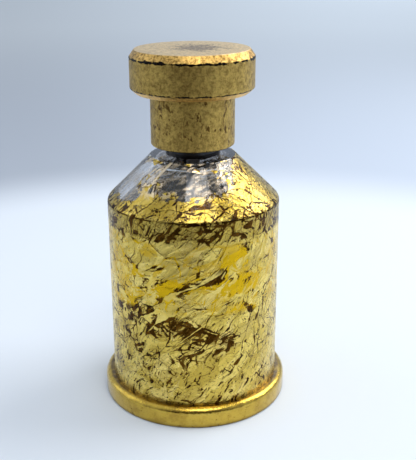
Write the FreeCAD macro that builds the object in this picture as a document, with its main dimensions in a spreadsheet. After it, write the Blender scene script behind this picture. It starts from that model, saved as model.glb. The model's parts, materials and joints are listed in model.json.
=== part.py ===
import FreeCAD, Part
import os
import re
import Sketcher

# Gold-leaf glass spray flacon, 100 ml. Millimetres, +Z up.
# Origin: centre of the circle the foot stands on. Almost every piece is turned about Z.

doc = FreeCAD.newDocument("SprayFlacon")
sheet = doc.addObject("Spreadsheet::Sheet", "Sizes")

sizes = {
    # foot ring
    "footProud": 3.0,
    "footHeight": 6.8,
    "footRound": 2.0,
    "footBottomRound": 0.6,
    "footLipWidth": 1.8,
    "footLipHeight": 0.9,
    # glass bottle and its leaf
    "bodyRadius": 28.0,
    "bodyHeight": 61.6,
    "leafThickness": 0.1,
    "shoulderAngle": 45.0,
    "ledgeMargin": 0.3,
    "heelInset": 1.5,
    "wallThickness": 4.0,
    "baseThickness": 13.0,
    "roofThickness": 3.4,
    "neckRadius": 6.5,
    "neckWall": 1.8,
    "neckHeight": 4.3,
    "lipOverhang": 1.0,
    "lipHeight": 3.6,
    "shoulderRound": 2.0,
    "chamberRound": 4.0,
    "boreRound": 1.5,
    "neckRootRound": 0.8,
    "lipRound": 0.6,
    "headspace": 4.8,
    # neck gasket, crimp ferrule and collar sleeve
    "gasketThickness": 0.8,
    "flangeThickness": 1.0,
    "ferruleSheet": 0.4,
    "crimpBite": 0.6,
    "crimpHeight": 0.5,
    "sleeveWall": 0.75,
    "sleeveLift": 0.25,
    "sleeveLip": 1.2,
    # pump housing
    "barrelGap": 0.5,
    "barrelWall": 1.0,
    "barrelLength": 10.5,
    "barrelFloor": 1.0,
    "wellWall": 0.65,
    "wellGap": 0.15,
    "wellDepth": 8.4,
    "cageFloor": 0.8,
    "socketLength": 5.0,
    "socketSeat": 1.4,
    "inletBite": 0.35,
    "ballGap": 0.3,
    "ballCage": 0.5,
    "ballChamberHeight": 2.3,
    "ventRadius": 0.4,
    # dip tube
    "tubeRadius": 0.95,
    "tubeWall": 0.35,
    "tubeGround": 1.5,
    # valve ball
    "ballRadius": 0.8,
    # turret and its wiper
    "turretSeat": 0.2,
    "turretRise": 1.8,
    "turretPlug": 1.6,
    "wiperThickness": 0.6,
    # stem, piston and plug
    "stemRadius": 1.6,
    "stemBore": 0.6,
    "flangeGap": 0.9,
    "stemFlangeHeight": 0.6,
    "stemFootRadius": 1.25,
    "stemFoot": 2.6,
    "portRadius": 0.3,
    "portHeight": 0.6,
    "pistonHeight": 1.8,
    "pistonLip": 0.45,
    "pistonWaist": 0.35,
    "plugFlange": 1.35,
    "plugFlangeHeight": 0.6,
    "plugPin": 0.7,
    "plugTailRadius": 0.7,
    "plugTailLength": 1.6,
    "stroke": 4.5,
    # return spring
    "springGap": 0.2,
    "springWire": 0.2,
    "springTurns": 9.0,
    # actuator
    "buttonGap": 0.44,
    "buttonHeight": 9.0,
    "buttonDish": 0.8,
    "buttonWall": 1.0,
    "hubRelief": 2.0,
    "hubRadius": 2.8,
    "sheathSheet": 0.35,
    "socketDepth": 3.0,
    "nozzleRadius": 1.5,
    "nozzleDepth": 1.6,
    "nozzleWall": 0.4,
    "orificeRadius": 0.2,
    "nozzleDrop": 2.9,
    "sprayChannel": 0.5,
    # cap
    "capGap": 3.3,
    "skirtWall": 3.2,
    "skirtHeight": 16.4,
    "discStep": 4.3,
    "lowerChamfer": 1.7,
    "lowerSlope": 1.9,
    "discSide": 9.5,
    "topChamfer": 2.3,
    "topSlope": 1.65,
    "capRoof": 3.4,
    "capEdgeRound": 0.5,
    "skirtEdgeRound": 0.5,
    "linerWall": 1.2,
    "linerSetback": 0.5,
    "linerRoof": 1.0,
    "linerStep": 0.9,
    "linerLead": 0.3,
    "ribCount": 6.0,
    "ribWidth": 1.6,
    # clearances
    "sleeveRibGap": 0.3,
    "gripFit": 0.03,
    "runningFit": 0.04,
    "seatFit": 0.02,
    "looseFit": 0.3,
}

for row, (alias, value) in enumerate(sizes.items(), start=1):
    sheet.set(f"A{row}", alias)
    sheet.set(f"B{row}", f"{value:g}")
    sheet.setAlias(f"B{row}", alias)
doc.recompute()

# Radii and heights (names in Z, Top, Foot and the like) that follow from the sizes.
derived = {
    "footRadius": "bodyRadius + footProud",
    "wallRadius": "bodyRadius - leafThickness",
    "heelRadius": "bodyRadius - heelInset",
    "boreRadius": "neckRadius - neckWall",
    "lipRadius": "neckRadius + lipOverhang",
    "ledgeRadius": "skirtRadius + ledgeMargin",
    "shoulderZ": "footHeight + bodyHeight",
    "ledgeZ": "shoulderZ + (bodyRadius - ledgeRadius) * tan(shoulderAngle)",
    "glassShoulderZ": "shoulderZ - leafThickness * tan(shoulderAngle / 2)",
    "glassLedge": "ledgeRadius - leafThickness / sin(shoulderAngle)",
    "chamberRadius": "wallRadius - wallThickness",
    "chamberFloor": "footLipHeight + baseThickness",
    "chamberShoulder": "glassShoulderZ - wallThickness * tan(shoulderAngle / 2)",
    "roofZ": "ledgeZ - roofThickness",
    "roofRadius": "chamberRadius - (roofZ - chamberShoulder) / tan(shoulderAngle)",
    "fillZ": "chamberShoulder - headspace",
    "lipUnder": "ledgeZ + neckHeight",
    "lipTop": "lipUnder + lipHeight",
    "gasketTop": "lipTop + gasketThickness",
    "flangeTop": "gasketTop + flangeThickness",
    "ferruleTop": "flangeTop + ferruleSheet",
    "ferruleBore": "lipRadius + seatFit",
    "ferruleRadius": "ferruleBore + ferruleSheet",
    "sleeveBore": "ferruleRadius + seatFit",
    "sleeveRadius": "sleeveBore + sleeveWall",
    "sleeveTop": "ferruleTop + sleeveWall",
    "barrelRadius": "boreRadius - barrelGap",
    "barrelBore": "barrelRadius - barrelWall",
    "inletRadius": "ballRadius - inletBite",
    "ballChamber": "ballRadius + ballGap",
    "tubeBore": "tubeRadius - tubeWall",
    "barrelFoot": "flangeTop - barrelLength",
    "floorTop": "barrelFoot + barrelFloor",
    "wellBore": "plugFlange + wellGap",
    "wellRadius": "wellBore + wellWall",
    "wellFloor": "floorTop - wellDepth",
    "cageRoof": "wellFloor - cageFloor",
    "ballSeatZ": "cageRoof - ballChamberHeight",
    "tubeSeatZ": "ballSeatZ - socketSeat",
    "socketEnd": "tubeSeatZ - socketLength",
    "tubeFoot": "chamberFloor + tubeGround",
    "turretNeck": "barrelBore + turretSeat",
    "stemFlange": "barrelBore - flangeGap",
    "springRadius": "wellBore - springGap - springWire",
    "turretTop": "flangeTop + turretRise",
    "turretFoot": "flangeTop - turretPlug",
    "wiperTop": "turretFoot",
    "wiperFoot": "wiperTop - wiperThickness",
    "stemFlangeTop": "wiperFoot - seatFit",
    "stemFlangeFoot": "stemFlangeTop - stemFlangeHeight",
    "pistonTop": "stemFlangeFoot",
    "pistonFoot": "pistonTop - pistonHeight",
    "stemEnd": "stemFlangeFoot - stemFoot",
    "plugFlangeFoot": "stemEnd - plugFlangeHeight",
    "plugTailFoot": "plugFlangeFoot - plugTailLength",
    "hubFoot": "turretTop + stroke + looseFit",
    "stemTop": "hubFoot + socketDepth",
    "buttonFoot": "ferruleTop + stroke + looseFit",
    "buttonTop": "buttonFoot + buttonHeight",
    "buttonRadius": "sleeveBore - sleeveLip - buttonGap",
    "coreRadius": "buttonRadius - sheathSheet - seatFit",
    "coreTop": "buttonTop - sheathSheet",
    "socketTop": "stemTop + seatFit",
    "nozzleZ": "buttonTop - nozzleDrop",
    "capFoot": "ledgeZ + capGap",
    "discUnder": "capFoot + skirtHeight",
    "discSideFoot": "discUnder + lowerChamfer",
    "discSideTop": "discSideFoot + discSide",
    "capTop": "discSideTop + topChamfer",
    "capBoreTop": "capTop - capRoof",
    "linerRadius": "linerBore + linerWall",
    "linerBore": "sleeveRadius + sleeveRibGap",
    "linerFoot": "capFoot + linerSetback",
    "linerStop": "sleeveTop + seatFit",
    "linerUpper": "sleeveRadius - linerStep",
    "linerTop": "capBoreTop - seatFit",
    "linerCeiling": "linerTop - linerRoof",
    "capBore": "linerRadius + seatFit",
    "skirtRadius": "capBore + skirtWall",
    "discUndercut": "skirtRadius + discStep",
    "discRadius": "discUndercut + lowerSlope",
    "topRadius": "discRadius - topSlope",
    "springFoot": "wellFloor + springWire + seatFit",
    "springHeight": "plugFlangeFoot - springWire - seatFit - springFoot",
}


def bind(text):
    """Spell a size formula out in cells of the sheet."""
    def spell(match):
        word = match.group(0)
        if word in derived:
            return f"({bind(derived[word])})"
        return f"Sizes.{word}" if word in sizes else word
    return re.sub(r"[A-Za-z]\w*", spell, str(text))


def amount(text):
    """The present value of a size formula."""
    return float(sheet.evalExpression(bind(text)))


def origin_plane(body, role):
    return next(item for item in body.Origin.OriginFeatures if item.Role == role)


def new_sketch(body, name, role="XZ_Plane"):
    sketch = body.newObject("Sketcher::SketchObject", name)
    sketch.AttachmentSupport = (origin_plane(body, role), [""])
    sketch.MapMode = "FlatFace"
    return sketch


def place_point(sketch, edge, across, up):
    """Tie the start of an edge to its distances from the sketch's origin."""
    for kind, text, axis in (("DistanceX", across, -2), ("DistanceY", up, -1)):
        if text == "0":
            sketch.addConstraint(Sketcher.Constraint("PointOnObject", edge, 1, axis))
            continue
        number = sketch.addConstraint(Sketcher.Constraint(kind, -1, 1, edge, 1, amount(text)))
        sketch.setExpression(f"Constraints[{number}]", bind(text))


def draw_outline(sketch, corners):
    """A closed outline of straight lines through corners given as formulas."""
    points = [FreeCAD.Vector(amount(across), amount(up), 0) for across, up in corners]
    count = len(points)
    for i in range(count):
        sketch.addGeometry(Part.LineSegment(points[i], points[(i + 1) % count]), False)
    for i in range(count):
        sketch.addConstraint(Sketcher.Constraint("Coincident", i, 2, (i + 1) % count, 1))
    for i, (across, up) in enumerate(corners):
        place_point(sketch, i, across, up)


def turned(name, corners, rounds=()):
    """A body turned about Z from (radius, height) corners; rounds are (radius, height, fillet)."""
    body = doc.addObject("PartDesign::Body", name)
    sketch = new_sketch(body, f"{name}_profile")
    draw_outline(sketch, corners)
    spin = body.newObject("PartDesign::Revolution", f"{name}_turn")
    spin.Profile = (sketch, [""])
    spin.ReferenceAxis = (sketch, ["V_Axis"])
    spin.Angle = 360
    doc.recompute()
    for fillet in dict.fromkeys(item[2] for item in rounds):
        places = [(amount(radius), amount(height)) for radius, height, size in rounds if size == fillet]
        round_edges(body, f"{name}_{re.sub(r'[^A-Za-z]', '', fillet)}", places, fillet)
    return body


def round_edges(body, name, places, size):
    """Fillet the circular edges of the body's tip that lie at the given radii and heights."""
    tip = body.Tip
    found = []
    for number, edge in enumerate(tip.Shape.Edges, start=1):
        if not isinstance(edge.Curve, Part.Circle):
            continue
        centre = edge.Curve.Center
        for radius, height in places:
            if abs(edge.Curve.Radius - radius) < 1e-5 and abs(centre.z - height) < 1e-5:
                found.append(f"Edge{number}")
    if len(found) != len(places):
        raise RuntimeError(f"{name}: {len(found)} edges found for {len(places)} corners")
    fillet = body.newObject("PartDesign::Fillet", name)
    fillet.Base = (tip, found)
    fillet.setExpression("Radius", bind(size))
    doc.recompute()


def drill(body, name, radius, height, depth, start):
    """A round hole along Y at a height, cut from y = -start towards +Y for a depth."""
    sketch = new_sketch(body, f"{name}_circle")
    centre = FreeCAD.Vector(0, amount(height), 0)
    sketch.addGeometry(Part.Circle(centre, FreeCAD.Vector(0, 0, 1), amount(radius)))
    sketch.addConstraint(Sketcher.Constraint("PointOnObject", 0, 3, -2))
    number = sketch.addConstraint(Sketcher.Constraint("DistanceY", -1, 1, 0, 3, amount(height)))
    sketch.setExpression(f"Constraints[{number}]", bind(height))
    number = sketch.addConstraint(Sketcher.Constraint("Radius", 0, amount(radius)))
    sketch.setExpression(f"Constraints[{number}]", bind(radius))
    sketch.setExpression("AttachmentOffset.Base.z", bind(start))
    before = body.Shape.Volume
    hole = body.newObject("PartDesign::Pocket", name)
    hole.Profile = (sketch, [""])
    hole.Type = 0
    hole.setExpression("Length", bind(depth))
    doc.recompute()
    if body.Shape.Volume > before - 1e-4:
        raise RuntimeError(f"{name} cuts nothing")


# Foot ring: the glass heel drops into it and rests on its inner lip.
turned("foot_ring", [
    ("heelRadius + seatFit - footLipWidth", "0"),
    ("footRadius", "0"),
    ("footRadius", "footHeight"),
    ("heelRadius + seatFit", "footHeight"),
    ("heelRadius + seatFit", "footLipHeight"),
    ("heelRadius + seatFit - footLipWidth", "footLipHeight"),
], [
    ("footRadius", "footHeight", "footRound"),
    ("footRadius", "0", "footBottomRound"),
])

# Glass bottle: solid base, straight wall, cone shoulder, neck with a crimp lip.
turned("glass_bottle", [
    ("0", "footLipHeight"),
    ("heelRadius", "footLipHeight"),
    ("heelRadius", "footHeight"),
    ("wallRadius", "footHeight"),
    ("wallRadius", "glassShoulderZ"),
    ("glassLedge", "ledgeZ"),
    ("neckRadius", "ledgeZ"),
    ("neckRadius", "lipUnder"),
    ("lipRadius", "lipUnder"),
    ("lipRadius", "lipTop"),
    ("boreRadius", "lipTop"),
    ("boreRadius", "roofZ"),
    ("roofRadius", "roofZ"),
    ("chamberRadius", "chamberShoulder"),
    ("chamberRadius", "chamberFloor"),
    ("0", "chamberFloor"),
], [
    ("wallRadius", "glassShoulderZ", "shoulderRound - leafThickness"),
    ("neckRadius", "ledgeZ", "neckRootRound"),
    ("lipRadius", "lipTop", "lipRound"),
    ("boreRadius", "roofZ", "boreRound"),
    ("chamberRadius", "chamberFloor", "chamberRound"),
])

# Gold leaf under varnish: a skin on the wall and the shoulder.
turned("gold_leaf", [
    ("wallRadius", "footHeight"),
    ("bodyRadius", "footHeight"),
    ("bodyRadius", "shoulderZ"),
    ("ledgeRadius", "ledgeZ"),
    ("glassLedge", "ledgeZ"),
    ("wallRadius", "glassShoulderZ"),
], [
    ("bodyRadius", "shoulderZ", "shoulderRound"),
    ("wallRadius", "glassShoulderZ", "shoulderRound - leafThickness"),
])

# Neck gasket: seals the pump flange on the glass lip.
turned("neck_gasket", [
    ("boreRadius", "lipTop"),
    ("lipRadius - lipRound", "lipTop"),
    ("lipRadius - lipRound", "gasketTop"),
    ("boreRadius", "gasketTop"),
])

# Crimp ferrule: sheet shell over the flange, its foot rolled in under the lip.
turned("crimp_ferrule", [
    ("ferruleRadius", "lipUnder - crimpHeight"),
    ("ferruleRadius", "ferruleTop"),
    ("turretNeck + seatFit", "ferruleTop"),
    ("turretNeck + seatFit", "flangeTop"),
    ("ferruleBore", "flangeTop"),
    ("ferruleBore", "lipUnder"),
    ("lipRadius - crimpBite", "lipUnder"),
    ("lipRadius - crimpBite", "lipUnder - crimpHeight"),
], [
    ("ferruleRadius", "ferruleTop", "ferruleSheet"),
    ("ferruleRadius", "lipUnder - crimpHeight", "ferruleSheet"),
])

# Collar sleeve: dark cover over the ferrule, which the cap's liner grips.
turned("collar_sleeve", [
    ("sleeveRadius", "ledgeZ + sleeveLift"),
    ("sleeveRadius", "sleeveTop"),
    ("sleeveBore - sleeveLip", "sleeveTop"),
    ("sleeveBore - sleeveLip", "ferruleTop"),
    ("sleeveBore", "ferruleTop"),
    ("sleeveBore", "ledgeZ + sleeveLift"),
], [
    ("sleeveRadius", "sleeveTop", "sleeveWall / 2"),
])

# Pump housing: flange, barrel, and a slender tail with the spring well, ball cage and tube socket.
housing = turned("pump_housing", [
    ("barrelBore", "floorTop"),
    ("wellBore", "floorTop"),
    ("wellBore", "wellFloor"),
    ("ballCage", "wellFloor"),
    ("ballCage", "cageRoof"),
    ("ballChamber", "cageRoof"),
    ("ballChamber", "ballSeatZ + ballChamber - inletRadius"),
    ("inletRadius", "ballSeatZ"),
    ("inletRadius", "tubeSeatZ"),
    ("tubeRadius", "tubeSeatZ"),
    ("tubeRadius", "socketEnd"),
    ("wellRadius", "socketEnd"),
    ("wellRadius", "barrelFoot - barrelFloor"),
    ("barrelRadius", "barrelFoot"),
    ("barrelRadius", "gasketTop"),
    ("lipRadius - lipRound", "gasketTop"),
    ("lipRadius - lipRound", "flangeTop"),
    ("barrelBore", "flangeTop"),
])
drill(housing, "housing_vent", "ventRadius", "stemFlangeTop - stemFlangeHeight / 2",
      "barrelRadius", "barrelRadius + looseFit")

# Dip tube: from its seat in the housing to just above the chamber floor.
tube = turned("dip_tube", [
    ("tubeBore", "tubeFoot"),
    ("tubeRadius", "tubeFoot"),
    ("tubeRadius", "tubeSeatZ"),
    ("tubeBore", "tubeSeatZ"),
])

# Perfume: fills the chamber round the dip tube, and stands in the tube to the same level.
charge = turned("liquid_charge", [
    ("0", "chamberFloor"),
    ("chamberRadius", "chamberFloor"),
    ("chamberRadius", "fillZ"),
    ("0", "fillZ"),
], [
    ("chamberRadius", "chamberFloor", "chamberRound"),
])
round_tube = doc.addObject("Part::Cut", "liquid_round_tube")
round_tube.Base = charge
round_tube.Tool = tube
perfume = doc.addObject("Part::Cut", "perfume")
perfume.Base = round_tube
perfume.Tool = housing

# Turret: plugs the top of the barrel and guides the stem.
turned("pump_turret", [
    ("stemRadius + runningFit", "turretFoot"),
    ("barrelBore", "turretFoot"),
    ("barrelBore", "flangeTop"),
    ("turretNeck", "flangeTop"),
    ("turretNeck", "turretTop"),
    ("stemRadius + runningFit", "turretTop"),
], [
    ("turretNeck", "turretTop", "looseFit"),
])

# Stem gasket: wiper ring under the turret.
turned("stem_gasket", [
    ("stemRadius + runningFit", "wiperFoot"),
    ("barrelBore", "wiperFoot"),
    ("barrelBore", "wiperTop"),
    ("stemRadius + runningFit", "wiperTop"),
])

# Stem: hollow above, a flange under the wiper, and a cross port in its foot.
stem = turned("pump_stem", [
    ("stemBore", "stemEnd"),
    ("stemFootRadius", "stemEnd"),
    ("stemFootRadius", "stemFlangeFoot"),
    ("stemFlange", "stemFlangeFoot"),
    ("stemFlange", "stemFlangeTop"),
    ("stemRadius", "stemFlangeTop"),
    ("stemRadius", "stemTop"),
    ("stemBore", "stemTop"),
])
drill(stem, "stem_port", "portRadius", "pistonFoot + portHeight",
      "2 * stemFootRadius + looseFit", "stemFootRadius + looseFit / 2")

# Piston: soft ring with a lip at each end that runs in the barrel.
turned("pump_piston", [
    ("stemFootRadius", "pistonFoot"),
    ("barrelBore - runningFit", "pistonFoot"),
    ("barrelBore - runningFit", "pistonFoot + pistonLip"),
    ("barrelBore - pistonWaist", "pistonFoot + pistonLip"),
    ("barrelBore - pistonWaist", "pistonTop - pistonLip"),
    ("barrelBore - runningFit", "pistonTop - pistonLip"),
    ("barrelBore - runningFit", "pistonTop"),
    ("stemFootRadius", "pistonTop"),
])

# Stem plug: snaps into the stem's foot and seats the spring.
turned("stem_plug", [
    ("0", "plugTailFoot"),
    ("plugTailRadius", "plugTailFoot"),
    ("plugTailRadius", "plugFlangeFoot"),
    ("plugFlange", "plugFlangeFoot"),
    ("plugFlange", "stemEnd"),
    ("stemBore", "stemEnd"),
    ("stemBore", "stemEnd + plugPin"),
    ("0", "stemEnd + plugPin"),
])

# Main spring: stands on the floor of the well, under the stem plug.
coil = doc.addObject("Part::Helix", "spring_path")
coil.setExpression("Radius", bind("springRadius"))
coil.setExpression("Height", bind("springHeight"))
coil.setExpression("Pitch", bind("springHeight / springTurns"))
wire = doc.addObject("Part::Circle", "spring_wire")
wire.Placement = FreeCAD.Placement(FreeCAD.Vector(), FreeCAD.Rotation(FreeCAD.Vector(1, 0, 0), 90))
wire.setExpression("Radius", bind("springWire"))
wire.setExpression("Placement.Base.x", bind("springRadius"))
spring = doc.addObject("Part::Sweep", "main_spring")
doc.recompute()
spring.Sections = [wire]
spring.Spine = (coil, ["Edge1"])
spring.Solid = True
spring.Frenet = True
spring.setExpression("Placement.Base.z", bind("springFoot"))

# Valve ball: rests on the chamfered inlet seat; the chamfer's half angle is 45 degrees.
ball = doc.addObject("Part::Sphere", "valve_ball")
ball.setExpression("Radius", bind("ballRadius"))
ball.setExpression("Placement.Base.z", bind("ballSeatZ - inletRadius + ballRadius * sqrt(2) + seatFit"))

# Actuator core: button with a skirt, a hub on the stem and a channel to the nozzle.
core = turned("actuator_core", [
    ("stemRadius + seatFit", "hubFoot"),
    ("hubRadius", "hubFoot"),
    ("hubRadius", "hubFoot + hubRelief"),
    ("coreRadius - buttonWall", "hubFoot + hubRelief"),
    ("coreRadius - buttonWall", "buttonFoot"),
    ("coreRadius", "buttonFoot"),
    ("coreRadius", "coreTop"),
    ("0", "coreTop - buttonDish"),
    ("0", "nozzleZ"),
    ("sprayChannel", "nozzleZ"),
    ("sprayChannel", "socketTop"),
    ("stemRadius + seatFit", "socketTop"),
])
drill(core, "nozzle_seat", "nozzleRadius + seatFit", "nozzleZ",
      "nozzleDepth + looseFit", "coreRadius + looseFit")
drill(core, "spray_way", "sprayChannel", "nozzleZ", "coreRadius", "coreRadius")

# Actuator shell: metal sheath over the side and the rim of the button.
sheath = turned("actuator_shell", [
    ("coreRadius + seatFit", "buttonFoot"),
    ("buttonRadius", "buttonFoot"),
    ("buttonRadius", "buttonTop"),
    ("0", "buttonTop - buttonDish"),
    ("0", "coreTop - buttonDish + seatFit"),
    ("coreRadius + seatFit", "coreTop + seatFit"),
], [
    ("buttonRadius", "buttonTop", "sheathSheet"),
])
drill(sheath, "nozzle_window", "nozzleRadius + seatFit", "nozzleZ",
      "buttonRadius", "buttonRadius + looseFit")

# Nozzle insert: cup pressed into the front of the button, turned about its own axis along -Y.
nozzle = turned("nozzle_insert", [
    ("nozzleRadius - nozzleWall", "coreRadius - nozzleDepth"),
    ("nozzleRadius", "coreRadius - nozzleDepth"),
    ("nozzleRadius", "coreRadius + sheathSheet / 2"),
    ("orificeRadius", "coreRadius + sheathSheet / 2"),
    ("orificeRadius", "coreRadius + sheathSheet / 2 - nozzleWall"),
    ("nozzleRadius - nozzleWall", "coreRadius + sheathSheet / 2 - nozzleWall"),
])
nozzle.Placement = FreeCAD.Placement(FreeCAD.Vector(), FreeCAD.Rotation(FreeCAD.Vector(1, 0, 0), 90))
nozzle.setExpression("Placement.Base.z", bind("nozzleZ"))

# Cap shell: turned wood, a wide disc with chamfered edges on a narrower skirt.
turned("cap_shell", [
    ("skirtRadius", "capFoot"),
    ("skirtRadius", "discUnder"),
    ("discUndercut", "discUnder"),
    ("discRadius", "discSideFoot"),
    ("discRadius", "discSideTop"),
    ("topRadius", "capTop"),
    ("0", "capTop"),
    ("0", "capBoreTop"),
    ("capBore", "capBoreTop"),
    ("capBore", "capFoot"),
], [
    ("skirtRadius", "capFoot", "skirtEdgeRound"),
    ("discUndercut", "discUnder", "capEdgeRound"),
    ("discRadius", "discSideFoot", "capEdgeRound"),
    ("discRadius", "discSideTop", "capEdgeRound"),
    ("topRadius", "capTop", "capEdgeRound"),
])

# Cap liner: plastic insert with a stop above the sleeve and ribs that grip the sleeve.
liner = turned("cap_liner", [
    ("linerBore", "linerFoot"),
    ("linerRadius", "linerFoot"),
    ("linerRadius", "linerTop"),
    ("0", "linerTop"),
    ("0", "linerCeiling"),
    ("linerUpper", "linerCeiling"),
    ("linerUpper", "linerStop"),
    ("linerBore", "linerStop"),
])
rib_sketch = new_sketch(liner, "rib_section", "XY_Plane")
draw_outline(rib_sketch, [
    ("sleeveRadius + gripFit", "-ribWidth / 2"),
    ("linerBore + linerWall / 2", "-ribWidth / 2"),
    ("linerBore + linerWall / 2", "ribWidth / 2"),
    ("sleeveRadius + gripFit", "ribWidth / 2"),
])
rib_sketch.setExpression("AttachmentOffset.Base.z", bind("linerFoot + linerLead"))
rib = liner.newObject("PartDesign::Pad", "grip_rib")
rib.Profile = (rib_sketch, [""])
rib.setExpression("Length", bind("linerStop - linerFoot - linerLead"))
doc.recompute()
ribs = liner.newObject("PartDesign::PolarPattern", "grip_ribs")
ribs.Originals = [rib]
ribs.Axis = (origin_plane(liner, "Z_Axis"), [""])
ribs.Angle = 360
ribs.setExpression("Occurrences", bind("ribCount"))
liner.Tip = ribs

doc.recompute()
turned_pieces = [item for item in doc.Objects if item.TypeId == "PartDesign::Body" and item != charge]
pieces = turned_pieces + [perfume, spring, ball]
for item in doc.Objects:
    if "Invalid" in item.State or "Error" in item.State:
        raise RuntimeError(f"{item.Name} did not recompute: {item.State}")
for piece in pieces:
    if piece.Shape.isNull() or not piece.Shape.isValid() or len(piece.Shape.Solids) != 1:
        raise RuntimeError(f"{piece.Label} is not one valid solid")

os.makedirs("parts", exist_ok=True)
for piece in pieces:
    piece.Shape.exportStep(f"parts/{piece.Label}.step")
    box = piece.Shape.BoundBox
    print(f"{piece.Label}: {piece.Shape.Volume:.1f} mm3, z {box.ZMin:.2f} to {box.ZMax:.2f}")
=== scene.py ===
import json
import math

import bpy
from mathutils import Matrix, Vector


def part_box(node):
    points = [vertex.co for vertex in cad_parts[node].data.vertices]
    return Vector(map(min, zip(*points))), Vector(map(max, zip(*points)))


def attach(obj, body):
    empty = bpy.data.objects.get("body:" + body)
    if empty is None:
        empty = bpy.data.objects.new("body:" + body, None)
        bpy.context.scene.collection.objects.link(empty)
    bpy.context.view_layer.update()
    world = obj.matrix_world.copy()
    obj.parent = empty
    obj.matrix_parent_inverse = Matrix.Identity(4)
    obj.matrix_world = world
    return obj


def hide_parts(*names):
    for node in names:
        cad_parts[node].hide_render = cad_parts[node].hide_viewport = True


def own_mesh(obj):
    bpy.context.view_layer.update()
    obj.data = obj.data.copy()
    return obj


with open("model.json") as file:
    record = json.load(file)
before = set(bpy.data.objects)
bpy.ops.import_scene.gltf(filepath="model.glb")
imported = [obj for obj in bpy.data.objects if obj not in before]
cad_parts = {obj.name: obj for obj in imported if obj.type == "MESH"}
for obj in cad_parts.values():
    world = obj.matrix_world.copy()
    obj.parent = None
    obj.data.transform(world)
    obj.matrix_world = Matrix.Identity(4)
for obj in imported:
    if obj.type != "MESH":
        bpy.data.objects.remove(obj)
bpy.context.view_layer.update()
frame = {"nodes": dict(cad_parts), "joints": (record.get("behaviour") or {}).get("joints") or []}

mm = 0.001
smoothBelow = 35  # degrees between faces
arcStep = 10  # degrees of an arc


def high(node):
    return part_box(node)[1].z / mm


def low(node):
    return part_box(node)[0].z / mm


def radius(node):
    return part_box(node)[1].x / mm


# Shader arithmetic: a Wire is an output socket, a Board is a node tree.
class Wire:
    def __init__(self, board, socket):
        self.board = board
        self.socket = socket

    def __add__(self, other):
        return self.board.math("ADD", self, other)

    def __radd__(self, other):
        return self.board.math("ADD", other, self)

    def __sub__(self, other):
        return self.board.math("SUBTRACT", self, other)

    def __rsub__(self, other):
        return self.board.math("SUBTRACT", other, self)

    def __mul__(self, other):
        return self.board.math("MULTIPLY", self, other)

    def __rmul__(self, other):
        return self.board.math("MULTIPLY", other, self)

    def __truediv__(self, other):
        return self.board.math("DIVIDE", self, other)

    def __abs__(self):
        return self.board.math("ABSOLUTE", self)

    def least(self, other):
        return self.board.math("MINIMUM", self, other)

    def most(self, other):
        return self.board.math("MAXIMUM", self, other)

    def rise(self, start, end):  # 0 up to start, 1 from end on
        sockets = {"Value": self, "From Min": start, "From Max": end}
        return self.board.node("ShaderNodeMapRange", {"interpolation_type": "SMOOTHSTEP"}, sockets)

    def fall(self, start, end):
        return 1 - self.rise(start, end)

    def between(self, start, end, soft):
        return self.rise(start - soft, start + soft) * self.fall(end - soft, end + soft)


class Board:
    def __init__(self, tree):
        self.tree = tree

    def node(self, kind, settings=None, sockets=None, output=0):
        made = self.tree.nodes.new(kind)
        for key, value in (settings or {}).items():
            setattr(made, key, value)
        pairs = sockets.items() if isinstance(sockets, dict) else enumerate(sockets or [])
        for key, value in pairs:
            if isinstance(value, Wire):
                self.tree.links.new(value.socket, made.inputs[key])
            else:
                made.inputs[key].default_value = value
        return Wire(self, made.outputs[output])

    def math(self, operation, *values):
        return self.node("ShaderNodeMath", {"operation": operation}, values)

    def vector(self, operation, *values, output=0, **named):
        sockets = dict(enumerate(values))
        sockets.update(named)
        return self.node("ShaderNodeVectorMath", {"operation": operation}, sockets, output)

    def mix(self, factor, first, second):
        return self.node("ShaderNodeMix", {"data_type": "RGBA"}, {0: factor, 6: first, 7: second}, 2)

    def part(self, vector, axis):
        return self.node("ShaderNodeSeparateXYZ", {}, [vector], axis)


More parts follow.
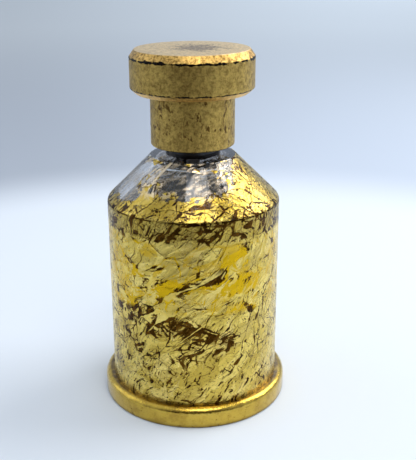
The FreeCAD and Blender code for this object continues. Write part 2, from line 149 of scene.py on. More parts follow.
class Look(Board):  # a material round its Principled shader, with sizes in millimetres
    def __init__(self, name, fixed=None):
        self.material = bpy.data.materials.new(name)
        self.material.use_nodes = True
        super().__init__(self.material.node_tree)
        self.shader = self.tree.nodes["Principled BSDF"]
        for key, value in (fixed or {}).items():
            self.shader.inputs[key].default_value = value
        place = self.node("ShaderNodeTexCoord", {}, {}, "Object")
        self.point = self.vector("SCALE", place, Scale=1 / mm)
        self.x, self.y, self.z = (self.part(self.point, axis) for axis in range(3))

    def noise(self, size, detail=3, roughness=0.5, point=None):
        sockets = {"Vector": point or self.point, "Scale": 1 / size, "Detail": detail,
                   "Roughness": roughness}
        return self.node("ShaderNodeTexNoise", {}, sockets)

    def cells(self, size, output=0, feature="F1", point=None):
        sockets = {"Vector": point or self.point, "Scale": 1 / size}
        return self.node("ShaderNodeTexVoronoi", {"feature": feature}, sockets, output)

    def seams(self, size, point=None):  # distance in millimetres to the nearest cell wall
        return self.cells(size, 0, "DISTANCE_TO_EDGE", point) * size

    def facets(self, size, point=None):  # a height that tilts each cell its own way
        slope = self.vector("SUBTRACT", self.cells(size, 1, point=point), (0.5, 0.5, 0.5))
        arm = self.vector("SUBTRACT", point or self.point, self.cells(size, 2, point=point))
        return self.vector("DOT_PRODUCT", slope, arm, output=1) / size

    def stretch(self, tilt, along, point=None):  # longer along a line tilted up from +X
        sockets = {"Vector": point or self.point, "Rotation": (0, -math.radians(tilt), 0),
                   "Scale": (along, 1, 1)}
        return self.node("ShaderNodeMapping", {"vector_type": "TEXTURE"}, sockets)

    def upright(self, along, point=None):  # longer along Z
        sockets = {"Vector": point or self.point, "Scale": (1, 1, along)}
        return self.node("ShaderNodeMapping", {"vector_type": "TEXTURE"}, sockets)

    def moved(self, offset, point=None):
        return self.vector("ADD", point or self.point, offset)

    def ripple(self, size, amount, point=None):  # the point pushed about by noise
        sockets = {"Vector": point or self.point, "Scale": 1 / size, "Detail": 2}
        push = self.vector("SUBTRACT", self.node("ShaderNodeTexNoise", {}, sockets, 1), (0.5, 0.5, 0.5))
        return self.vector("ADD", point or self.point, self.vector("SCALE", push, Scale=amount * 2))

    def reach(self):  # distance from the Z axis
        return self.math("SQRT", self.x * self.x + self.y * self.y)

    def bump(self, height, depth):  # depth in millimetres for a height of 1
        sockets = {"Height": height, "Strength": 1.0, "Distance": depth * mm}
        return self.node("ShaderNodeBump", {}, sockets)

    def feed(self, **wires):
        for key, wire in wires.items():
            self.tree.links.new(wire.socket, self.shader.inputs[key.replace("_", " ")])
        return self.material


# Outlines and turning
def softened(corners):  # (radius, height, round) corners, with each round as an arc
    points = []
    for i, (across, up, size) in enumerate(corners):
        here = Vector((across, up))
        if not size:
            points.append(here)
            continue
        before = (Vector(corners[i - 1][:2]) - here).normalized()
        after = (Vector(corners[(i + 1) % len(corners)][:2]) - here).normalized()
        half = before.angle(after) / 2
        centre = here + (before + after).normalized() * size / math.sin(half)
        first = here + before * size / math.tan(half) - centre
        last = here + after * size / math.tan(half) - centre
        sweep = math.pi - 2 * half
        steps = max(2, math.ceil(math.degrees(sweep) / arcStep))
        for step in range(steps + 1):
            share = step / steps
            blend = first * math.sin((1 - share) * sweep) + last * math.sin(share * sweep)
            points.append(centre + blend / math.sin(sweep))
    return points


def divided(points, longest, beyond):  # runs outside that radius cut to that length
    fine = [points[0]]
    for start, end in zip(points, points[1:]):
        count = math.ceil((end - start).length / longest) if min(start.x, end.x) > beyond else 1
        fine += [start.lerp(end, step / count) for step in range(1, count + 1)]
    return fine


def turnOnAxis(name, points, steps, loop=False):
    route = points + [points[0]] if loop else points
    places = [Vector((point.x, 0, point.y)) * mm for point in route]
    bpy.ops.object.select_all(action="DESELECT")
    bpy.ops.mesh.primitive_plane_add(size=mm)
    piece = bpy.context.object
    piece.name = piece.data.name = name
    bpy.ops.object.mode_set(mode="EDIT")
    bpy.ops.mesh.select_all(action="SELECT")
    bpy.ops.mesh.merge(type="CENTER")
    bpy.ops.transform.translate(value=places[0])
    for start, end in zip(places, places[1:]):
        bpy.ops.mesh.extrude_region_move(TRANSFORM_OT_translate={"value": end - start})
    bpy.ops.mesh.select_all(action="SELECT")
    bpy.ops.mesh.spin(steps=steps, angle=math.tau, center=(0, 0, 0), axis=(0, 0, 1))
    bpy.ops.mesh.select_all(action="SELECT")
    bpy.ops.mesh.remove_doubles(threshold=0.004 * mm)
    bpy.ops.mesh.normals_make_consistent(inside=False)
    bpy.ops.object.mode_set(mode="OBJECT")
    bpy.ops.object.shade_smooth_by_angle(angle=math.radians(smoothBelow))
    return piece


def dress(piece, material):
    piece.data.materials.clear()
    piece.data.materials.append(material)


def dressNode(name, material):
    for slot in frame["nodes"][name].material_slots:
        slot.material = material


# Camera, floor and light
view = {"distance": 252.1, "height": 147.8, "pitch": 19.94, "roll": -0.486, "lens": 63.15, "shift": 0.0313}


def placeCamera():
    camera = bpy.data.cameras.new("camera")
    camera.sensor_fit = "VERTICAL"
    camera.sensor_height = 36
    camera.lens = view["lens"]
    camera.shift_x = view["shift"]
    camera.clip_start = 0.01
    holder = bpy.data.objects.new("camera", camera)
    tilt = Matrix.Rotation(math.radians(90 - view["pitch"]), 4, "X")
    roll = Matrix.Rotation(math.radians(view["roll"]), 4, "Z")
    place = Matrix.Translation(Vector((0, -view["distance"], view["height"])) * mm)
    holder.matrix_world = place @ tilt @ roll
    bpy.context.collection.objects.link(holder)
    bpy.context.scene.camera = holder


placeCamera()
print("camera placed")

floorLook = {"size": 9.0, "near": (0.71, 0.77, 0.85, 1), "far": (0.51, 0.58, 0.69, 1),
             "distant": (0.84, 0.92, 1.0, 1), "front": (0.1, 0.09, 0.08, 1),
             "paleTo": 205, "farFrom": 300, "distantFrom": 1300, "leftSide": (-0.35, 0.3),
             "leftDim": 0.3, "frontAlong": (-300, -100), "frontAcross": (0, 260), "frontCentre": -60,
             "frontDim": 0.9}


def layFloor():
    bpy.ops.object.select_all(action="DESELECT")
    bpy.ops.mesh.primitive_plane_add(size=floorLook["size"])
    floor = bpy.context.object
    floor.name = "studioFloor"
    look = Look("paleFloor", {"Roughness": 0.7, "Specular IOR Level": 0.2})
    distance = look.reach()
    # painted shade and light of a paper sweep: pale near the bottle, blue-grey beyond farFrom, lighter again
    # far off
    paperAndShade = look.mix(distance.rise(floorLook["farFrom"], floorLook["distantFrom"]), floorLook["far"],
                     floorLook["distant"])
    # painted shade: the floor darker on the left, away from the key lamp
    dimLeft = (look.x / distance).fall(*floorLook["leftSide"]) * floorLook["leftDim"]
    paperAndShade = look.mix(dimLeft, paperAndShade, floorLook["front"])
    paperAndShade = look.mix(distance.fall(floorLook["paleTo"], floorLook["farFrom"]), paperAndShade, floorLook["near"])
    # painted shade: a dark patch on the floor in front of the bottle, which the cap and body reflect
    across = abs(look.x - floorLook["frontCentre"]) + look.y * 0.3
    paintedShade = look.y.fall(*floorLook["frontAlong"]) * across.fall(*floorLook["frontAcross"])
    paintedShade = paintedShade * floorLook["frontDim"]
    dress(floor, look.feed(Base_Color=look.mix(paintedShade, paperAndShade, floorLook["front"])))


layFloor()

lamps = {
    "keyLamp": {"at": (0.5, 0.2, 0.5), "to": (0, 0, 0.06), "size": 0.5, "watts": 3.6,
                "colour": (1, 0.98, 0.95)},
    "topLamp": {"at": (0.1, -0.35, 0.75), "to": (0, 0, 0.06), "size": 0.4, "watts": 2.0,
                "colour": (1, 0.98, 0.96)},
    "fillLamp": {"at": (-0.6, 0.1, 0.35), "to": (0, 0, 0.06), "size": 0.5, "watts": 0.6,
                 "colour": (0.9, 0.95, 1)},
    "backLamp": {"at": (0.6, 1.9, 1.2), "to": (0.4, 2.0, 0), "size": 1.0, "watts": 4.4,
                 "colour": (0.95, 0.98, 1)},
}


def hangLamps():
    for name, lamp in lamps.items():
        light = bpy.data.lights.new(name, "AREA")
        light.size = lamp["size"]
        light.energy = lamp["watts"]
        light.color = lamp["colour"]
        holder = bpy.data.objects.new(name, light)
        holder.location = lamp["at"]
        aim = Vector(lamp["to"]) - holder.location
        holder.rotation_euler = aim.to_track_quat("-Z", "Y").to_euler()
        bpy.context.collection.objects.link(holder)


hangLamps()

skyLook = {"side": (0.6, 0.68, 0.82, 1), "top": (0.72, 0.76, 0.8, 1), "front": (0.1, 0.09, 0.08, 1),
           "topFrom": (0.2, 0.95), "frontTo": (0.5, 0.85), "frontWide": (-0.95, -0.35), "strength": 0.86}


def paintSky():
    world = bpy.data.worlds.new("softRoom")
    world.use_nodes = True
    bpy.context.scene.world = world
    sky = Board(world.node_tree)
    towards = sky.node("ShaderNodeTexCoord", {}, {}, "Generated")
    up = sky.part(towards, 2)
    front = sky.part(towards, 1)
    tone = sky.mix(up.rise(*skyLook["topFrom"]), skyLook["side"], skyLook["top"])
    frontShare = front.fall(*skyLook["frontWide"]) * up.fall(*skyLook["frontTo"])
    tone = sky.mix(frontShare, tone, skyLook["front"])
    background = world.node_tree.nodes["Background"]
    world.node_tree.links.new(tone.socket, background.inputs["Color"])
    background.inputs["Strength"].default_value = skyLook["strength"]


paintSky()
bpy.context.scene.view_settings.view_transform = "Standard"
print("studio ready")

# Sizes that several pieces share, read from the frame
turnSteps = 192
footTop = high("foot_ring")
wallRadius = radius("glass_bottle")
leafRadius = radius("gold_leaf")
ledge = high("gold_leaf")
ledgeRadius = 13.71
shoulder = ledge - (leafRadius - ledgeRadius)  # the shoulder is a 45 degree cone
skin = leafRadius - wallRadius
halfSlope = math.tan(math.radians(22.5))

bottle = {"heel": 26.5, "neck": 6.5, "bore": 4.7, "lip": 7.5, "neckRise": 4.3,
          "chamber": radius("perfume"), "floor": low("perfume"), "roofDrop": 3.4, "roofRadius": 11.31,
          "chamberShoulder": 66.70, "shoulderRound": 1.9, "lipRound": 0.6, "rootRound": 0.8,
          "heelRound": 0.6, "boreRound": 1.5, "chamberRound": 4.0, "clear": (0.985, 0.995, 0.99, 1),
          "darkTint": (0.2, 0.14, 0.1, 1), "underCapShadeRadius": (12.4, 13.3)}


def blowBottle():
    size = bottle
    foot = low("glass_bottle")
    glassShoulder = shoulder - skin * halfSlope
    glassLedge = ledgeRadius - skin * math.sqrt(2)
    lipUnder = ledge + size["neckRise"]
    lipTop = high("glass_bottle")
    roof = ledge - size["roofDrop"]
    outline = softened([
        (0, foot, 0),
        (size["heel"], foot, size["heelRound"]),
        (size["heel"], footTop, 0),
        (wallRadius, footTop, 0.3),
        (wallRadius, glassShoulder, size["shoulderRound"]),
        (glassLedge, ledge, 0.4),
        (size["neck"], ledge, size["rootRound"]),
        (size["neck"], lipUnder, 0.3),
        (size["lip"], lipUnder, 0.4),
        (size["lip"], lipTop, size["lipRound"]),
        (size["bore"], lipTop, 0.3),
        (size["bore"], roof, size["boreRound"]),
        (size["roofRadius"], roof, 2.5),
        (size["chamber"], size["chamberShoulder"], 2.5),
        (size["chamber"], size["floor"], size["chamberRound"]),
        (0, size["floor"], 0),
    ])
    glass = turnOnAxis("bottleGlass", outline, turnSteps)
    look = Look("clearFlint", {"Transmission Weight": 1.0, "IOR": 1.5})
    smears = look.noise(9, 4).rise(0.45, 0.8) * 0.05 + 0.01
    waves = look.noise(16, 1) + look.noise(5, 2) * 0.12
    # painted shade: the glass ledge under the cap tinted dark, for the dark reflection of the cap's underside
    underCapShade = look.z.between(ledge - 0.6, ledge + 1, 0.2) * look.reach().fall(*size["underCapShadeRadius"])
    tone = look.mix(underCapShade * 0.85, size["clear"], size["darkTint"])
    dress(glass, look.feed(Base_Color=tone, Roughness=smears, Normal=look.bump(waves, 0.12)))
    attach(glass, "bottle")
    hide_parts("glass_bottle")


blowBottle()
print("bottle blown")

perfume = {"overlap": 0.04, "meniscus": 0.5, "tubeGap": 0.02, "colour": (0.8, 0.46, 0.08, 1),
           "lowerTone": (0.736, 0.4232, 0.0736, 1), "lowerToneFrom": (20, 60)}


def fillBottle():
    wall = bottle["chamber"] + perfume["overlap"]
    base = bottle["floor"] - perfume["overlap"]
    level = high("perfume")
    tube = radius("dip_tube") + perfume["tubeGap"]
    mouth = low("dip_tube")
    curl = perfume["meniscus"]
    outline = softened([
        (0, base, 0),
        (wall, base, bottle["chamberRound"]),
        (wall, level, 0),
        (wall - curl, level - curl * 0.6, 0.5),
        (wall - curl * 4, level - curl, 0),
        (tube + curl * 2, level - curl, 0),
        (tube, level - curl * 0.4, 0),
        (tube, mouth, 0),
        (0, mouth, 0),
    ])
    liquid = turnOnAxis("perfumeLiquid", outline, turnSteps)
    look = Look("amberPerfume", {"Transmission Weight": 1.0, "IOR": 1.36, "Roughness": 0.0})
    # the perfume darker towards the bottom
    tone = look.mix(look.z.fall(*perfume["lowerToneFrom"]), perfume["colour"], perfume["lowerTone"])
    dress(liquid, look.feed(Base_Color=tone))
    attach(liquid, "bottle")
    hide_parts("perfume")


fillBottle()
print("perfume poured")

leaf = {"thickness": 0.06, "round": 2.0, "shadeFill": 0.88, "shoulderShadeFill": 0.4, "bump": 0.28,
        "slant": 32, "steepSlant": 66, "levelSlant": -14,
        "upperBelt": (44, 49), "lowerBelt": (28, 36), "underBelt": (-6.5, 1), "lowLeft": (13, 27),
        "ribbons": (13, 52), "amberBand": (38, 61), "crackedFrom": (17, 25),
        "pale": (0.7, 0.51, 0.09, 1), "bright": (0.86, 0.66, 0.16, 1), "deep": (0.42, 0.28, 0.03, 1),
        "amber": (0.68, 0.42, 0.01, 1), "brown": (0.055, 0.022, 0.002, 1), "rust": (0.12, 0.052, 0.006, 1),
        "blush": (0.66, 0.55, 0.41, 1), "sun": (0.94, 0.74, 0.24, 1)}


class LeafLook(Look):  # the slants of the leaf and the zones where it is thin or gone
    def __init__(self):
        super().__init__("tornGoldLeaf", {"Coat Roughness": 0.05, "Metallic": 1.0})
        x, z = self.x, self.z
        self.rise = z - shoulder
        self.onShoulder = self.rise.rise(0, 1)
        self.rough = self.ripple(0.8, 0.12, self.ripple(14, 3.5))
        self.slanted = self.stretch(leaf["slant"], 3.4, self.rough)
        self.steep = self.stretch(leaf["steepSlant"], 3.2, self.moved((70, 20, 5), self.rough))
        self.level = self.stretch(leaf["levelSlant"], 3.6, self.moved((11, 60, 33), self.rough))
        self.sway = self.noise(13, 2, point=self.moved((8, 3, 1))) * 16 - 8
        self.drift = self.noise(9, 3, point=self.moved((4, 4, 4))) * 18 - 9
        self.broken = self.noise(4, 3, point=self.moved((5, 50, 9)))
        self.crossing = self.noise(5, 2, point=self.moved((51, 5, 19)))
        # thin in two torn belts, the belt under the shoulder, the lower left and patches
        belts = (z + self.sway).between(*leaf["upperBelt"], 2) * (x + self.sway).between(-16, 18, 4)
        lowerBelt = (z + self.sway * 0.7 + x * 0.25).between(*leaf["lowerBelt"], 3)
        belts = belts.most(lowerBelt * (x - self.sway).between(-24, 8, 4) * 0.9)
        patch = self.noise(7, 3, point=self.moved((31, 7, 13), self.slanted)).rise(0.54, 0.74) * 0.8
        self.under = self.rise.between(*leaf["underBelt"], 1.5)
        self.lowLeft = (z + self.sway * 0.7).between(*leaf["lowLeft"], 3) * (x + self.sway).fall(-8, 4)
        self.thin = patch.most(belts).most(self.under * 0.45).most(self.lowLeft * 0.3)
        # gone at the left of the shoulder, and partly below the neck
        self.bareLeft = (x + self.drift * 0.5).fall(-19, -14) * self.rise.rise(1, 4)
        self.bareNeck = (x + self.drift * 0.4).fall(9, 14) * (self.rise + self.drift * 0.4).rise(4, 8)


def leafCracks(look):  # along three slants, then short ones and hairlines, each broken along its length
    thin, broken, crossing = look.thin, look.broken, look.crossing
    wide = look.seams(9, look.slanted)
    steepSeam = look.seams(8, look.steep)
    levelSeam = look.seams(9, look.level)
    fine = look.seams(2.8, look.moved((17, 3, 8), look.slanted))
    short = look.seams(2.4, look.steep)
    hair = look.seams(1.5, look.moved((3, 23, 4), look.rough))
    cracks = (wide - broken.rise(0.44, 0.8) * 0.42).fall(0.0, 0.06)
    cracks = cracks.most((steepSeam - broken.fall(0.25, 0.55) * 0.3).fall(0.0, 0.06))
    cracks = cracks.most((levelSeam - crossing.rise(0.44, 0.8) * 0.36).fall(0.0, 0.06))
    cracks = cracks * (look.z + look.sway).rise(*leaf["crackedFrom"])
    cracks = cracks.most((fine - (thin * 0.16 + crossing.rise(0.6, 0.75) * 0.12)).fall(0.0, 0.06)
                         * thin.most(crossing.rise(0.58, 0.62)))
    cracks = cracks.most((short - (thin * 0.12 + broken.fall(0.26, 0.36) * 0.12)).fall(0.0, 0.05)
                         * thin.most(broken.fall(0.36, 0.4)))
    cracks = cracks.most((hair - thin * 0.05).fall(0.0, 0.04) * crossing.rise(0.52, 0.6) * 0.7)
    rim = wide.least(levelSeam).least(fine * 1.6).fall(0, 0.7) * 0.2
    return cracks, rim


def leafTears(look):  # tapering tears, short strokes, lost flakes, crumbs and pinholes
    thin, rough = look.thin, look.rough
    rising = look.noise(2.6, 3, 0.55, point=look.stretch(38, 4.5, rough))
    falling = look.noise(2.2, 3, 0.55, point=look.stretch(-22, 4, rough))
    strokes = look.noise(1.0, 3, 0.6, point=look.stretch(58, 5, look.moved((2, 8, 40), rough)))
    tears = (rising + thin * 0.19).rise(0.68, 0.7).most((falling + thin * 0.15).rise(0.68, 0.7))
    scribbled = ((look.z + look.sway * 0.6).fall(14, 25) * 0.06).most(look.onShoulder * 0.045)
    tears = tears.most((strokes + thin * 0.08 + scribbled).rise(0.645, 0.675))
    lost = look.part(look.cells(2.4, 1, point=look.slanted), 0)
    lost = lost.least(look.part(look.cells(1.5, 1, point=look.steep), 0) * 1.4)
    flakes = (thin * (1 - look.lowLeft) * 0.2 - lost).rise(0, 0.02)
    crumbs = (look.noise(0.8, 4, 0.7, point=rough) + thin * 0.08 + scribbled * 0.5).rise(0.69, 0.72)
    pinholes = (look.cells(1.15) * 1.15 - look.noise(4, 2).rise(0.42, 0.7) * 0.26).fall(0, 0.05)
    return tears.most(flakes).most(crumbs).most(pinholes)


def leafRibbons(look):  # folded leaf, drawn as a line of painted highlight, and the dark gap at each side of it
    onRibbons = (look.z + look.sway * 0.4).between(*leaf["ribbons"], 2)
    folded = look.noise(8, 1, 0.3, point=look.stretch(27, 4, look.ripple(5, 0.5)))
    crossed = look.noise(8, 1, 0.3, point=look.stretch(-24, 4, look.ripple(5, 0.5, look.moved((9, 9, 2)))))
    away = abs(folded - 0.5).least(abs(crossed - 0.47) + 0.008)
    away = away - look.noise(3.5, 3, 0.6, point=look.slanted).rise(0.4, 0.7) * 0.06
    ribbon = away.fall(0.003, 0.008) * onRibbons * look.thin.rise(0.1, 0.4)
    edge = away.between(0.005, 0.013, 0.003) * onRibbons * (look.broken + look.thin * 0.1).rise(0.5, 0.56)
    return ribbon, edge


def bareShoulder(look):  # bare glass with slivers of leaf on it, and the one strip left across it
    sliver = look.part(look.cells(3.0, 1, point=look.moved((9, 9, 9), look.slanted)), 0)
    sliver = sliver.least(look.part(look.cells(1.2, 1, point=look.steep), 0) * 1.5)
    bare = ((look.bareLeft * 0.92).most(look.bareNeck * 0.5) - sliver).rise(0, 0.02)
    strip = abs(look.x - look.rise + 21 + look.drift * 0.1).fall(0.3, 0.55) * look.y.fall(-2, 2)
    strip = strip * look.rise.rise(0.5, 1.5)
    return bare * (1 - strip), strip


def flakeTone(look, ribbon, band):  # the gold, flake by flake
    flake = look.part(look.cells(5, 1, point=look.moved((2, 4, 1), look.slanted)), 1)
    tone = look.mix(flake.rise(0.1, 0.9), leaf["pale"], leaf["bright"])
    # painted highlights: some flakes lit brighter in the sun colour
    sunny = look.part(look.cells(2.9, 1, point=look.steep), 1).rise(0.72, 0.76) * 0.5
    tone = look.mix(sunny, tone, leaf["sun"])
    cloud = look.noise(2.0, 5, 0.7, point=look.slanted)
    dull = look.part(look.cells(3.3, 1, point=look.moved((8, 0, 30), look.slanted)), 1).rise(0.66, 0.7) * 0.5
    # painted shade in the deep colour: the belt under the shoulder and the shoulder, more on its left
    paintedShade = look.under.most(look.onShoulder * ((look.x + look.drift).fall(2, 16) * 0.4 + 0.6)) * 0.62
    clouded = (cloud.rise(0.48, 0.68) * 0.55).most(cloud.rise(0.4, 0.54) * look.onShoulder * 0.85)
    tone = look.mix(clouded.most(dull).most(paintedShade), tone, leaf["deep"])
    scores = look.noise(0.55, 3, 0.6, point=look.stretch(36, 7, look.rough))
    crossScores = look.noise(0.55, 3, 0.6, point=look.stretch(-28, 6, look.rough)) - 0.03
    tone = look.mix(scores.most(crossScores).rise(0.6, 0.67) * 0.6, tone, leaf["rust"])
    blush = look.bareNeck * look.part(look.cells(1.6, 1, point=look.rough), 2).rise(0.3, 0.5)
    tone = look.mix(blush * 0.9, tone, leaf["blush"])
    # amber patches on the flakes in the band of the perfume
    amberPatches = look.part(look.cells(3.4, 1, point=look.moved((1, 40, 3), look.slanted)), 0).rise(0.6, 0.63)
    tone = look.mix(amberPatches * band * (cloud.rise(0.3, 0.6) * 0.6 + 0.2), tone, leaf["amber"])
    # painted highlight: the folds of the leaf in the bright colour
    return look.mix(ribbon * 0.5, tone, leaf["bright"])


def leafMaterial():
    look = LeafLook()
    cracks, rim = leafCracks(look)
    ribbon, ribbonEdge = leafRibbons(look)
    crease = abs(look.rise + 0.2).fall(0.15, 0.3) * look.noise(3, 2).rise(0.42, 0.5)
    bare, strip = bareShoulder(look)
    gap = (cracks.most(leafTears(look)) * (1 - ribbon)).most(ribbonEdge)
    gap = gap.most(crease).most(bare) * (1 - strip)
    # what fills a gap is painted: amber painted light where light comes through the perfume, brown painted
    # shade elsewhere
    band = (look.z + look.sway * 0.3).between(*leaf["amberBand"], 0.8)
    amberLight = look.noise(3.6, 4, 0.6, point=look.moved((40, 1, 3), look.slanted)).rise(0.47, 0.51) * band
    # painted shade: the gaps filled most of the way with colour, less on the shoulder
    shadeFill = look.rise.rise(-1, 1) * (leaf["shoulderShadeFill"] - leaf["shadeFill"]) + leaf["shadeFill"]
    dusty = look.noise(1.6, 4, 0.7, point=look.slanted).rise(0.45, 0.68) * 0.4
    streaked = look.noise(0.7, 4, 0.7, point=look.stretch(42, 8)).rise(0.42, 0.62) * 0.4
    haze = (dusty * look.bareNeck).most(streaked * look.bareLeft)
    cover = (amberLight.most(shadeFill) * (1 - bare)).most(haze)
    # painted shade in brown and rust in the gaps, painted amber light in the perfume band
    stainAndShade = look.mix(look.noise(2.4, 3).rise(0.4, 0.65), leaf["brown"], leaf["rust"])
    stainAndShade = look.mix(amberLight, stainAndShade, leaf["amber"])
    stainAndShade = look.mix(bare, stainAndShade, leaf["blush"])
    tone = look.mix(gap, flakeTone(look, ribbon, band), stainAndShade)
    height = look.facets(5, look.slanted) * 0.6 + look.facets(2.1, look.steep) * 0.22
    height = height * (1 + look.onShoulder * 0.9)
    height = height + look.noise(1.5, 3, point=look.slanted) * 0.3 + look.noise(0.5, 2) * 0.05
    satin = look.noise(2.5, 3) * 0.2 + 0.18
    return look.feed(Base_Color=tone, Roughness=satin, Alpha=1 - gap * (1 - cover),
                     Coat_Weight=(1 - gap) * 0.22,
                     Normal=look.bump(height + rim - gap * 0.15, leaf["bump"]))


def layLeaf():
    inner = leafRadius - leaf["thickness"]
    bend = leaf["thickness"] * halfSlope
    outline = softened([
        (inner, footTop + 0.02, 0),
        (leafRadius, footTop + 0.02, 0),
        (leafRadius, shoulder, leaf["round"]),
        (ledgeRadius, ledge, 0),
        (ledgeRadius - leaf["thickness"] * math.sqrt(2), ledge, 0),
        (inner, shoulder - bend, leaf["round"] - leaf["thickness"]),
    ])
    sheet = turnOnAxis("leafSkin", outline, turnSteps, loop=True)
    dress(sheet, leafMaterial())
    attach(sheet, "bottle")
    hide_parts("gold_leaf")


layLeaf()
print("leaf laid")

cap = {"skirt": 13.41, "under": 17.71, "side": radius("cap_shell"), "top": 17.96, "bore": 10.21,
       "boreTop": 112.49, "discUnder": 102.39, "sideFoot": 104.09, "sideTop": 113.59, "round": 0.5,
       "steps": 384, "run": 0.42, "chipDepth": 0.3, "pitDepth": 0.08,
       "gold": (0.57, 0.39, 0.1, 1), "dark": (0.13, 0.07, 0.015, 1), "bright": (0.84, 0.52, 0.16, 1),
       "lid": (0.86, 0.67, 0.38, 1), "worn": (0.1, 0.09, 0.09, 1), "ground": (0.008, 0.006, 0.005, 1),
       "darkTint": (0.4, 0.31, 0.2, 1)}


def capMaterial():
    look = Look("rubbedCapGold")
    x, y, z = look.x, look.y, look.z
    reach = look.reach()
    outer = reach.fall(cap["side"] - 1.2, cap["side"] - 0.6) * 5
    wander = look.noise(2.4, 4, 0.6, point=look.moved((3, 3, 3)))
    topWorn = (abs(z - cap["sideTop"] + 0.15) + outer - (wander - 0.39) * 2.4).fall(0, 0.1)
    dotted = look.noise(1.2, 3, point=look.moved((7, 1, 2)))
    footWorn = (abs(z - cap["sideFoot"]) + outer - (dotted - 0.45) * 1.7).fall(0, 0.1)
    onSkirt = z.fall(cap["discUnder"] - 0.6, cap["discUnder"] - 0.2)
    pits = look.noise(1.5, 4, 0.65, point=look.upright(1.9, look.moved((9, 4, 5))))
    pitted = (pits + look.noise(3.5, 2) * 0.5).rise(0.83, 0.91) * onSkirt
    specks = look.noise(0.55, 2, point=look.moved((1, 2, 9))).rise(0.64, 0.7) * 0.6
    scratches = look.noise(0.7, 2, point=look.stretch(80, 9)).rise(0.66, 0.7) * onSkirt * 0.7
    crown = high("cap_shell")
    lid = z.rise(crown - 0.2, crown - 0.05)
    middle = look.math("SQRT", (x - 2) * (x - 2) + y * y)
    rubbing = (middle + look.noise(3.5, 4) * 12 - 6).fall(2, 15)
    rubbed = lid * (look.noise(0.9, 5, 0.8) + rubbing * 0.26).rise(0.6, 0.76)
    mottle = look.noise(1.3, 6, 0.75).rise(0.4, 0.64)
    patches = look.noise(5, 3).rise(0.4, 0.65)
    tone = look.mix(mottle * 0.62 + patches * 0.15, cap["gold"], cap["dark"])
    tone = look.mix(look.noise(0.6, 3).rise(0.52, 0.72) * 0.3, tone, cap["bright"])
    slope = z.rise(cap["sideTop"] + 0.1, cap["sideTop"] + 0.4)
    # painted highlight: the top chamfer lighter in the bright colour, as it faces the lamps
    tone = look.mix(slope * (0.75 - mottle * 0.45), tone, cap["bright"])
    tone = look.mix(lid * (1 - mottle * 0.45), tone, cap["lid"])
    grey = look.noise(1.1, 6, 0.85, point=look.moved((6, 6, 1))).rise(0.47, 0.6) * 0.7
    tone = look.mix(lid * grey, tone, cap["darkTint"])
    nicks = look.noise(1.1, 5, 0.8, point=look.moved((4, 9, 1))).rise(0.46, 0.56) * slope * (1 - lid)
    tone = look.mix(nicks * 0.75, tone, cap["dark"])
    # painted reflection: the lower chamfer under the disc lighter, for the pale floor it reflects
    underEdge = z.between(cap["discUnder"] + 0.1, cap["sideFoot"] - 0.3, 0.2)
    tone = look.mix(underEdge * (0.8 - mottle * 0.4), tone, cap["bright"])
    tone = look.mix(pitted.most(specks).most(scratches) * (1 - lid * 0.6), tone, cap["dark"])
    tone = look.mix(rubbed * 0.85, tone, cap["worn"])
    black = topWorn.most(footWorn)
    tone = look.mix(black, tone, cap["ground"])
    satin = look.noise(1.2, 4) * 0.2 + 0.32 + rubbed * 0.15
    height = look.noise(1.0, 5, 0.75) * 0.6 + look.noise(0.35, 2) * 0.2 - pitted * 0.8 - black * 0.6
    return look.feed(Base_Color=tone, Metallic=1 - rubbed * 0.4,
                     Roughness=satin, Normal=look.bump(height, 0.15))


def nearEdge(across, up):  # how near the two worn edges of the disc, 0 to 1
    worn = min(abs(up - cap["sideTop"]), abs(up - cap["sideFoot"]))
    return max(0.0, 1 - worn / 0.9) if across > cap["side"] - 1 else 0.0


def onWall(across, up):
    return 1.0 if across > cap["skirt"] - 0.3 and up < cap["sideTop"] - 0.3 else 0.0


def dent(piece, name, kind, size, level, depth, weigh):  # hollows, never humps
    group = piece.vertex_groups.new(name=name)
    for point in piece.data.vertices:
        across = math.hypot(point.co.x, point.co.y) / mm
        weight = weigh(across, point.co.z / mm)
        if weight:
            group.add([point.index], weight, "REPLACE")
    texture = bpy.data.textures.new(name, kind)
    texture.noise_scale = size * mm
    if kind == "CLOUDS":
        texture.noise_depth = 3
    texture.use_clamp = True
    texture.intensity = level
    texture.contrast = 2.5
    bpy.context.view_layer.objects.active = piece
    push = piece.modifiers.new(name, "DISPLACE")
    push.texture = texture
    push.texture_coords = "LOCAL"
    push.vertex_group = name
    push.mid_level = 0
    push.strength = -depth * mm
    bpy.ops.object.modifier_apply(modifier=name)


def turnCap():
    size = cap
    foot = low("cap_shell")
    crown = high("cap_shell")
    edge = size["round"]
    outline = softened([
        (0, crown, 0),
        (0, size["boreTop"], 0),
        (size["bore"], size["boreTop"], edge),
        (size["bore"], foot, edge),
        (size["skirt"], foot, edge),
        (size["skirt"], size["discUnder"], edge),
        (size["under"], size["discUnder"], edge),
        (size["side"], size["sideFoot"], edge),
        (size["side"], size["sideTop"], edge),
        (size["top"], crown, edge),
    ])
    outline = divided(outline + [outline[0]], size["run"], size["bore"] + edge)
    shell = turnOnAxis("capShell", outline, size["steps"])
    dent(shell, "chips", "CLOUDS", 1.4, 0.5, size["chipDepth"], nearEdge)
    dent(shell, "pits", "STUCCI", 0.9, 0.6, size["pitDepth"], onWall)
    dress(shell, capMaterial())
    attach(shell, "cap")
    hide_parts("cap_shell")


turnCap()
print("cap turned")

footRing = {"radius": radius("foot_ring"), "round": 2.0, "bottomRound": 0.6, "bore": 26.52, "lip": 24.72,
            "lipTop": 0.9,
            "gold": (0.62, 0.42, 0.055, 1), "deep": (0.33, 0.19, 0.018, 1), "tarnishAndShade": (0.07, 0.035, 0.01, 1)}


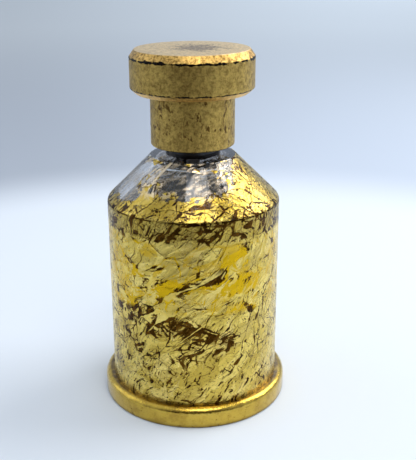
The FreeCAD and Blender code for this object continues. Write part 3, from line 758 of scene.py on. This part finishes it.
def footMaterial():
    look = Look("gildedFoot", {"Coat Weight": 0.4, "Coat Roughness": 0.08, "Metallic": 1.0})
    mottle = look.noise(3.5, 6, 0.68).rise(0.42, 0.66)
    tone = look.mix(mottle * 0.6, footRing["gold"], footRing["deep"])
    # darker towards the bottom edge
    nearBottom = look.z.fall(0.3, 1.6) * 0.5
    stainAndShade = (look.noise(1.4, 4, 0.7, point=look.upright(0.5)) + nearBottom * 0.12).rise(0.58, 0.7)
    tone = look.mix(stainAndShade * 0.55, tone, footRing["tarnishAndShade"])
    # painted shade: the flat top darkened next to the body, for the corner and the body it reflects
    inner = look.reach().fall(29.0, 30.0) * look.z.rise(footTop - 0.5, footTop - 0.1)
    inner = inner * (look.noise(2, 3).rise(0.3, 0.6) * 0.4 + 0.5)
    tone = look.mix(inner.most(nearBottom), tone, footRing["tarnishAndShade"])
    satin = look.noise(3, 4) * 0.22 + 0.08 + stainAndShade * 0.2
    height = look.noise(1.2, 4, 0.6) * 0.9 + look.noise(5, 1) * 1.2 + look.noise(0.5, 2) * 0.2
    return look.feed(Base_Color=tone, Roughness=satin, Normal=look.bump(height, 0.14))


def castFoot():
    size = footRing
    outline = softened([
        (size["lip"], 0, 0.3),
        (size["radius"], 0, size["bottomRound"]),
        (size["radius"], footTop, size["round"]),
        (size["bore"], footTop, 0.2),
        (size["bore"], size["lipTop"], 0),
        (size["lip"], size["lipTop"], 0.2),
    ])
    ring = turnOnAxis("footRing", outline, turnSteps, loop=True)
    dress(ring, footMaterial())
    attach(ring, "bottle")
    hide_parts("foot_ring")


castFoot()
print("foot cast")

spring = {"merge": 0.001, "steel": (0.62, 0.61, 0.6, 1), "shadow": (0.48, 0.475, 0.465, 1), "rough": 0.2}


def windSpring():  # the frame's spring, merged, smoothed and carried by the stem; the share of the stroke is worked out but nothing shortens it
    coil = bpy.data.objects.new("returnSpring", frame["nodes"]["main_spring"].data.copy())
    bpy.context.collection.objects.link(coil)
    bpy.ops.object.select_all(action="DESELECT")
    coil.select_set(True)
    bpy.context.view_layer.objects.active = coil
    bpy.ops.object.mode_set(mode="EDIT")
    bpy.ops.mesh.select_all(action="SELECT")
    bpy.ops.mesh.remove_doubles(threshold=spring["merge"] * mm)
    bpy.ops.object.mode_set(mode="OBJECT")
    bpy.ops.object.shade_smooth_by_angle(angle=math.radians(smoothBelow))
    look = Look("drawnSteel", {"Metallic": 1.0})
    grain = look.noise(0.2, 4, 0.6, point=look.stretch(0, 6))
    shade = look.noise(1.2, 3).rise(0.35, 0.7)
    dress(coil, look.feed(Base_Color=look.mix(shade, spring["steel"], spring["shadow"]),
                          Roughness=grain * 0.12 + spring["rough"], Normal=look.bump(grain, 0.01)))
    joint = next(joint for joint in frame["joints"] if joint["name"] == "pump_stroke")
    length = high("main_spring") - low("main_spring")
    stroke = joint["range_m"][1] / mm
    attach(coil, "stem")
    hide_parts("main_spring")
    1 - stroke / length
    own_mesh(coil)


windSpring()
print("spring wound")

# Finishes of the pieces that stay as the frame has them
finishes = {  # colour, roughness, metal, size and depth of the grain
    "collar_sleeve": ((0.02, 0.013, 0.009), 0.14, 0.0, 0.5, 0.01),
    "crimp_ferrule": ((0.78, 0.74, 0.68), 0.25, 1.0, 0.4, 0.02),
    "neck_gasket": ((0.05, 0.05, 0.055), 0.7, 0.0, 0.3, 0.03),
    "pump_housing": ((0.93, 0.9, 0.93), 0.35, 0.0, 0.8, 0.02),
    "pump_turret": ((0.85, 0.84, 0.82), 0.4, 0.0, 0.8, 0.02),
    "stem_gasket": ((0.08, 0.08, 0.08), 0.7, 0.0, 0.3, 0.03),
    "dip_tube": ((0.88, 0.9, 0.92), 0.3, 0.0, 1.0, 0.02),
    "pump_stem": ((0.82, 0.81, 0.76), 0.4, 0.0, 0.6, 0.02),
    "pump_piston": ((0.8, 0.82, 0.86), 0.45, 0.0, 0.6, 0.02),
    "stem_plug": ((0.72, 0.76, 0.84), 0.4, 0.0, 0.6, 0.02),
    "valve_ball": ((0.7, 0.7, 0.71), 0.1, 1.0, 0.2, 0.004),
    "actuator_core": ((0.8, 0.8, 0.78), 0.4, 0.0, 0.8, 0.02),
    "actuator_shell": ((0.8, 0.56, 0.2), 0.22, 1.0, 0.5, 0.015),
    "nozzle_insert": ((0.02, 0.02, 0.022), 0.35, 0.0, 0.3, 0.01),
    "cap_liner": ((0.025, 0.024, 0.024), 0.42, 0.0, 0.8, 0.02),
}


def finishNodes():
    for name, (colour, rough, metal, size, depth) in finishes.items():
        look = Look(name + "Finish", {"Metallic": metal})
        grain = look.noise(size, 4, 0.6)
        shade = look.noise(size * 6, 3).rise(0.35, 0.7)
        worn = tuple(c * 0.78 for c in colour) + (1,)
        dressNode(name, look.feed(Base_Color=look.mix(shade, colour + (1,), worn),
                                  Roughness=grain * 0.12 + rough - 0.05,
                                  Normal=look.bump(grain, depth)))


finishNodes()
print("inner pieces finished")
